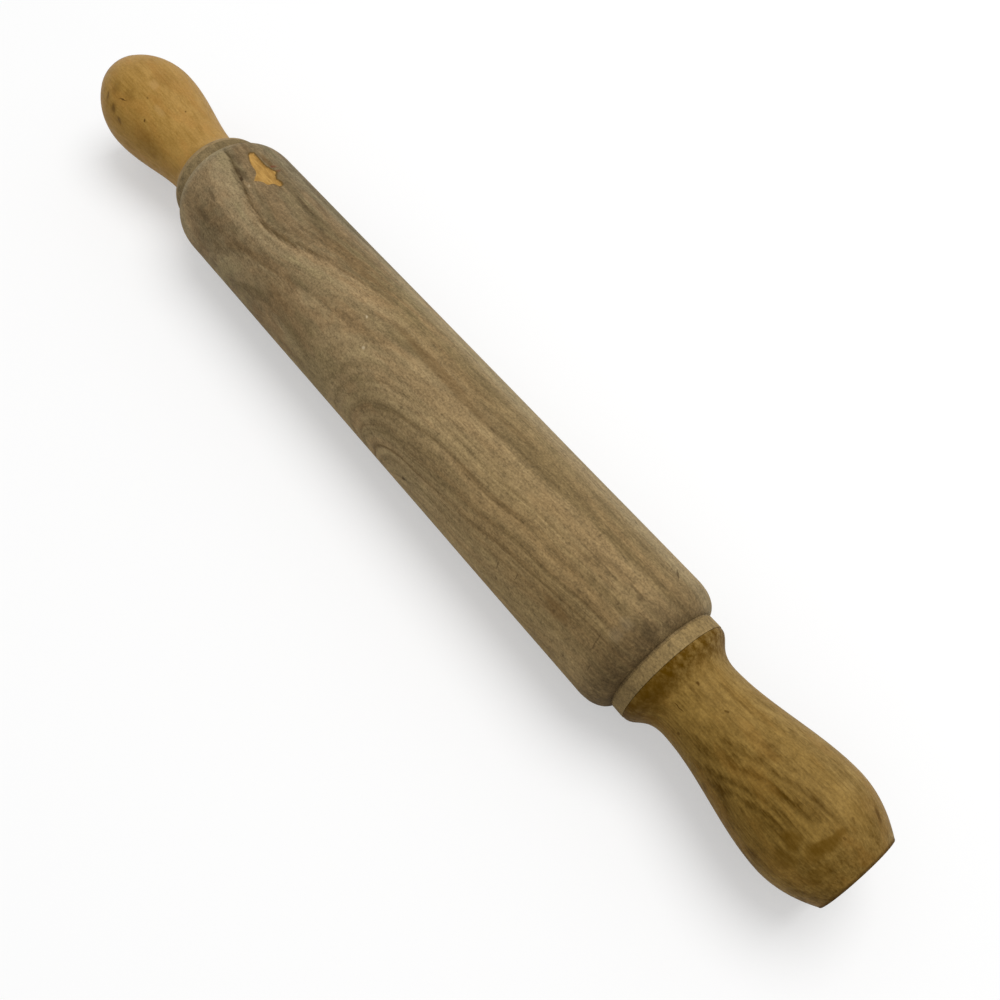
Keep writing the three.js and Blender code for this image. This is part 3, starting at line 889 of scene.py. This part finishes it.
def makePlug(p):
    low, high, radius = reach("right_end_plug")
    e = p["ease"]
    outline = joined((low, 0.0), straight((low, 2.0), (low, radius - e), 3.0), (low + e, radius),
                     straight((low + e, radius), (high - e, radius), 3.0),
                     bezier([(high - e, radius), (high, radius), (high, radius - e)], 3),
                     straight((high, radius - e), (high, 2.0), 1.5), (high, 0.0))
    return turned(outline, fullTurn(p["columns"]))


def plugWood(p):
    material, point = newFinish("plugWood")
    y, z = split(point)[1:]
    across, up = p["pith"]
    drift = clouds(point, (9, 5, 5), 2.0)
    pores = clouds(point, (3.0, 0.45, 0.45), 2.0)
    spot = point.node("ShaderNodeCombineXYZ", {}, {"X": 0.0, "Y": y - across, "Z": z - up})
    distance = lengthOf(spot)
    growth = point.maths("SINE", distance * (2 * math.pi / p["ringGap"]) + drift * 5.0) * 0.5 + 0.5
    colour = blend(p["pale"], p["deep"], growth * 0.6 + (drift - 0.5) * 0.8)
    poreShare = ease(pores, 0.58, 0.7)
    colour = shade(colour, 1.0 - poreShare * 0.35)
    rough = 0.55 + (drift - 0.5) * 0.3
    height = growth * 0.4 - poreShare
    surface(point, colour, rough, height, p["bumpDepth"], {"Specular IOR Level": p["gloss"]})
    return material


plugPoints = makePlug(plug)
plugFinish = plugWood(plug)
makePiece("right_plug_wood", plugPoints, plugFinish, "right_end_plug", False)
makePiece("left_plug_wood", turnedAbout(plugPoints), plugFinish, "left_end_plug", False)
print("plugs: 2")


# axle

axle = {
    "shankRadius": 4.0,
    "shoulder": reach("right_thrust_washer")[0],  # where the bar steps down to its threaded end
    "threadLength": 22.0,
    "pitch": 1.25,
    "threadDepth": 0.72,
    "threadCrest": 0.12,  # flat and flank of the thread, in half pitches
    "threadFlank": 0.63,
    "chamfer": 0.8,
    "ease": 0.2,
    "columns": 48,
    "steel": paint(176, 177, 179),
    "shadow": paint(118, 118, 120),
}


def makeAxle(a):
    tip, radius = reach("axle_rod")[1:]
    e, shank, shoulder = a["ease"], a["shankRadius"], a["shoulder"]
    start = tip - a["threadLength"]
    half = joined((0.0, radius), straight((0.0, radius), (shoulder - e, radius), 12.0),
                  (shoulder, radius - e), (shoulder, shank),
                  straight((shoulder, shank), (start, shank), 6.0),
                  straight((start, shank), (tip - a["chamfer"], shank), a["pitch"] / 8),
                  straight((tip - a["chamfer"], shank), (tip, shank - a["chamfer"]), 0.2), (tip, 0.0))
    outline = joined(half[::-1] * np.array([-1, 1]), half[1:])
    around = fullTurn(a["columns"])
    # thread: a groove that moves one pitch along the axle for each turn, run out at its inner end
    x = outline[:, :1]
    phase = x / a["pitch"] - around[None, :] / 360
    fromMiddle = np.abs(2 * (phase - np.floor(phase)) - 1)
    ramp = np.clip((fromMiddle - a["threadCrest"]) / a["threadFlank"], 0, 1)
    threaded = soft(np.abs(x), start, start + 2 * a["pitch"]) * (outline[:, 1:] > shank - 0.5)
    room = np.clip(outline[:, 1:] - (shank - a["threadDepth"]), 0, a["threadDepth"])
    return turned(outline, around, -room * ramp * threaded)


def steelFinish(name, bright, dark, rough, lines):
    # turned or rolled steel: fine hoops along x, and a mottle that changes the gloss
    material, point = newFinish(name)
    hoops = clouds(point, lines, 3.0, 0.6)
    mottle = clouds(point, (5, 5, 5), 3.0)
    specks = clouds(point, (0.9, 0.9, 0.9), 2.0)
    colour = blend(bright, dark, ease(hoops, 0.35, 0.7) * 0.45 + ease(specks, 0.62, 0.75) * 0.4)
    surface(point, colour, rough + (mottle - 0.5) * 0.25, hoops, 0.01, {"Metallic": 1.0})
    return material


turnedSteel = steelFinish("turnedSteel", axle["steel"], axle["shadow"], 0.3, (0.25, 9, 9))
axlePoints = makeAxle(axle)
makePiece("axle_steel", axlePoints, turnedSteel, "axle_rod", False)
print("axle: {} points".format(axlePoints.shape[0] * axlePoints.shape[1]))


# bushes, washers and nuts, made for the right end and turned about for the left

fittings = {
    "columns": 72,
    "bushBore": 5.1,
    "bushRadius": 8.1,
    "bushFlange": 2.5,
    "bushEase": 0.4,
    "bore": 4.1,  # of washers and nuts
    "washerEase": 0.25,
    "lockEase": 0.2,
    "lockGap": 1.2,
    "lockSlant": 9.0,  # degrees that the cut leans over the washer's thickness
    "nutSides": 6,
    "nutChamfer": 30.0,
    "nutCountersink": 0.5,
    "nutInside": 0.2,  # the chamfer starts this far inside the flats
    "nutBeyond": 0.1,  # and ends this far beyond the corners
    "nylon": paint(228, 223, 208),
    "nylonShade": paint(206, 199, 180),
    "plateSteel": paint(170, 171, 172),
    "plateShade": paint(122, 122, 122),
    "springSteel": paint(92, 94, 98),
    "springShade": paint(58, 59, 62),
}


def makeBush(f):
    low, high, flange = reach("right_bush")
    back = high - f["bushFlange"]
    corners = [(low, f["bushBore"]), (low, f["bushRadius"]), (back, f["bushRadius"]), (back, flange),
               (high, flange), (high, f["bushBore"])]
    return turned(eased(corners, f["bushEase"]), fullTurn(f["columns"]))


def makeWasher(f, node):
    low, high, radius = reach(node)
    corners = [(low, f["bore"]), (low, radius), (high, radius), (high, f["bore"])]
    return turned(eased(corners, f["washerEase"]), fullTurn(f["columns"]))


def makeNut(f):
    # r = the smaller of the outline's radius and the hexagon's, flat / cos(angle from a flat's middle)
    low, high, corner = reach("right_nut")
    flat = corner * math.cos(math.pi / f["nutSides"])
    slope, bore, sink = math.tan(math.radians(f["nutChamfer"])), f["bore"], f["nutCountersink"]
    inner, outer = flat - f["nutInside"], corner + f["nutBeyond"]
    rise = (outer - inner) * slope
    outline = joined((low, bore + sink), straight((low, bore + sink), (low, inner), 1.0),
                     straight((low, inner), (low + rise, outer), 0.12),
                     straight((low + rise, outer), (high - rise, outer), 1.5),
                     straight((high - rise, outer), (high, inner), 0.12),
                     straight((high, inner), (high, bore + sink), 1.0),
                     (high - sink, bore), (low + sink, bore))
    around = fullTurn(f["columns"]) + 90  # a corner stands at the top
    side = 360 / f["nutSides"]
    off = np.mod(around - 90, side) - side / 2
    hexagon = flat / np.cos(np.radians(off))[None, :]
    return turned(outline, around, np.minimum(outline[:, 1:], hexagon) - outline[:, 1:])


def makeLockWasher(f):
    # an eased section carried round the axle from one side of the cut to the other, leaning with x
    low, high, radius = reach("right_lock_washer")
    bore = f["bore"]
    section = eased([(low, bore), (low, radius), (high, radius), (high, bore)], f["lockEase"])
    halfGap = math.degrees(f["lockGap"] / 2 / bore)
    sweep = np.linspace(-90 + halfGap, 270 - halfGap, f["columns"])
    lean = (section[:, :1] - (low + high) / 2) / (high - low) * f["lockSlant"]
    a = np.radians(sweep[None, :] + lean)
    x = np.broadcast_to(section[:, :1], a.shape)
    r = section[:, 1:]
    return np.stack([x, r * np.cos(a), axleHeight + r * np.sin(a)], -1)


def makeSplitPiece(name, points, finish, node):
    # a section carried along a sweep, with one face on each side of the cut
    index, quads = gridFaces(points, True, False)
    caps = [index[:, 0].tolist(), index[::-1, -1].tolist()]
    mesh = bpy.data.meshes.new(name)
    mesh.from_pydata((points * mm).reshape(-1, 3).tolist(), [], quads + caps)
    return addPiece(name, mesh, finish, node)


def naturalNylon(f):
    material, point = newFinish("naturalNylon")
    cloud = clouds(point, (7, 5, 5), 3.0)
    grain = clouds(point, (0.6, 0.6, 0.6), 2.0)
    colour = blend(f["nylon"], f["nylonShade"], ease(cloud, 0.4, 0.7) * 0.7 + (grain - 0.5) * 0.3)
    surface(point, colour, 0.42 + (grain - 0.5) * 0.3, grain, 0.02, {"IOR": 1.53})
    return material


plateSteel = steelFinish("plateSteel", fittings["plateSteel"], fittings["plateShade"], 0.36, (6, 0.5, 7))
springSteel = steelFinish("springSteel", fittings["springSteel"], fittings["springShade"], 0.44, (0.5, 4, 4))
rightEnd = {
    "bush": (makeBush(fittings), naturalNylon(fittings)),
    "thrust_washer": (makeWasher(fittings, "right_thrust_washer"), plateSteel),
    "nut_washer": (makeWasher(fittings, "right_nut_washer"), plateSteel),
    "nut": (makeNut(fittings), turnedSteel),
}
for kind, (points, finish) in rightEnd.items():
    makePiece("right_{}_piece".format(kind), points, finish, "right_" + kind)
    makePiece("left_{}_piece".format(kind), turnedAbout(points), finish, "left_" + kind)
lockPoints = makeLockWasher(fittings)
makeSplitPiece("right_lock_washer_piece", lockPoints, springSteel, "right_lock_washer")
makeSplitPiece("left_lock_washer_piece", turnedAbout(lockPoints), springSteel, "left_lock_washer")
print("fittings: {} pieces".format(2 * len(rightEnd) + 2))


# camera, floor and light

studio = {
    "cameraAt": (196.9, -144.7, 315.8),  # from the middle of the axle
    "cameraAim": (56.7, -4.0, 0.0),
    "cameraRoll": -7.47,
    "lens": 36.55,
    "floorSize": 6000.0,
    "floorDrop": 0.2,
    "floorColour": paint(200, 200, 199),  # as the object sees it
    "shadowShare": 0.6,  # how much of the floor's own shading the camera sees
    "shadowReach": 900.0,  # distance from the pin's middle at which that shading is gone
    "skyLevel": 0.54,
    "lampAt": (60.0, 400.0, 1400.0),
    "lampSize": 1100.0,
    "lampPower": 12.0,
}


def placeCamera(s):
    middle = Vector((0, 0, axleHeight))
    place, aim = (Vector(s["cameraAt"]) + middle) * mm, (Vector(s["cameraAim"]) + middle) * mm
    ahead = (aim - place).normalized()
    side = ahead.cross(Vector((0, 0, 1))).normalized()
    up = side.cross(ahead)
    roll = math.radians(s["cameraRoll"])
    right = side * math.cos(roll) - up * math.sin(roll)
    upright = up * math.cos(roll) + side * math.sin(roll)
    data = bpy.data.cameras.new("camera")
    data.sensor_width, data.lens = 36.0, s["lens"]
    data.clip_start, data.clip_end = 0.01, 20.0
    camera = bpy.data.objects.new("camera", data)
    camera.matrix_world = Matrix.Translation(place) @ Matrix((right, upright, -ahead)).transposed().to_4x4()
    bpy.context.scene.collection.objects.link(camera)
    bpy.context.scene.camera = camera


def seenDirectly(start):
    # 1 for rays from the camera and for what polished surfaces mirror
    rays = [start.node("ShaderNodeLightPath", {}, {}, ray)
            for ray in ("Is Camera Ray", "Is Glossy Ray", "Is Transmission Ray")]
    return larger(larger(rays[0], rays[1]), rays[2])


def makeFloor(s):
    half = s["floorSize"] / 2
    grid = np.linspace(-half, half, 13)
    x, y = np.meshgrid(grid, grid, indexing="ij")
    points = np.stack([x, y, np.full(x.shape, -s["floorDrop"])], -1) * mm
    index = np.arange(x.size).reshape(x.shape)
    quads = np.stack([index[:-1, :-1], index[1:, :-1], index[1:, 1:], index[:-1, 1:]], -1).reshape(-1, 4)
    mesh = bpy.data.meshes.new("floor")
    mesh.from_pydata(points.reshape(-1, 3).tolist(), [], quads.tolist())
    material = bpy.data.materials.new("paleFloor")
    start = emptyTree(material)
    lit = start.node("ShaderNodeBsdfDiffuse", {}, {"Color": s["floorColour"]})
    white = start.node("ShaderNodeEmission", {}, {"Color": (1, 1, 1, 1), "Strength": 1.0})
    paper = start.node("ShaderNodeBsdfDiffuse", {}, {"Color": (1, 1, 1, 1)})
    place = start.node("ShaderNodeTexCoord", {}, {}, "Object")
    away = lengthOf(place)
    nearness = ease(away, s["shadowReach"] * mm, s["shadowReach"] * mm / 2)
    seen = start.node("ShaderNodeMixShader", {}, {0: nearness * s["shadowShare"], 1: white, 2: paper})
    mixed = start.node("ShaderNodeMixShader", {}, {0: seenDirectly(start), 1: lit, 2: seen})
    start.node("ShaderNodeOutputMaterial", {}, {"Surface": mixed})
    mesh.materials.append(material)
    floor = bpy.data.objects.new("floor", mesh)
    bpy.context.scene.collection.objects.link(floor)


def lightStudio(s):
    world = bpy.data.worlds.new("studioSky")
    start = emptyTree(world)
    sky = start.node("ShaderNodeBackground", {}, {"Color": (1, 1, 1, 1), "Strength": s["skyLevel"]})
    white = start.node("ShaderNodeBackground", {}, {"Color": (1, 1, 1, 1), "Strength": 1.0})
    mixed = start.node("ShaderNodeMixShader", {}, {0: seenDirectly(start), 1: sky, 2: white})
    start.node("ShaderNodeOutputWorld", {}, {"Surface": mixed})
    bpy.context.scene.world = world
    data = bpy.data.lights.new("softbox", "AREA")
    data.shape, data.size, data.energy = "DISK", s["lampSize"] * mm, s["lampPower"]
    lamp = bpy.data.objects.new("softbox", data)
    lamp.location = Vector(s["lampAt"]) * mm
    lamp.rotation_mode = "QUATERNION"
    lamp.rotation_quaternion = (-lamp.location).to_track_quat("-Z", "Y")
    bpy.context.scene.collection.objects.link(lamp)


placeCamera(studio)
makeFloor(studio)
lightStudio(studio)
bpy.context.scene.view_settings.view_transform = "Standard"
print("studio: camera, floor, sky and lamp")
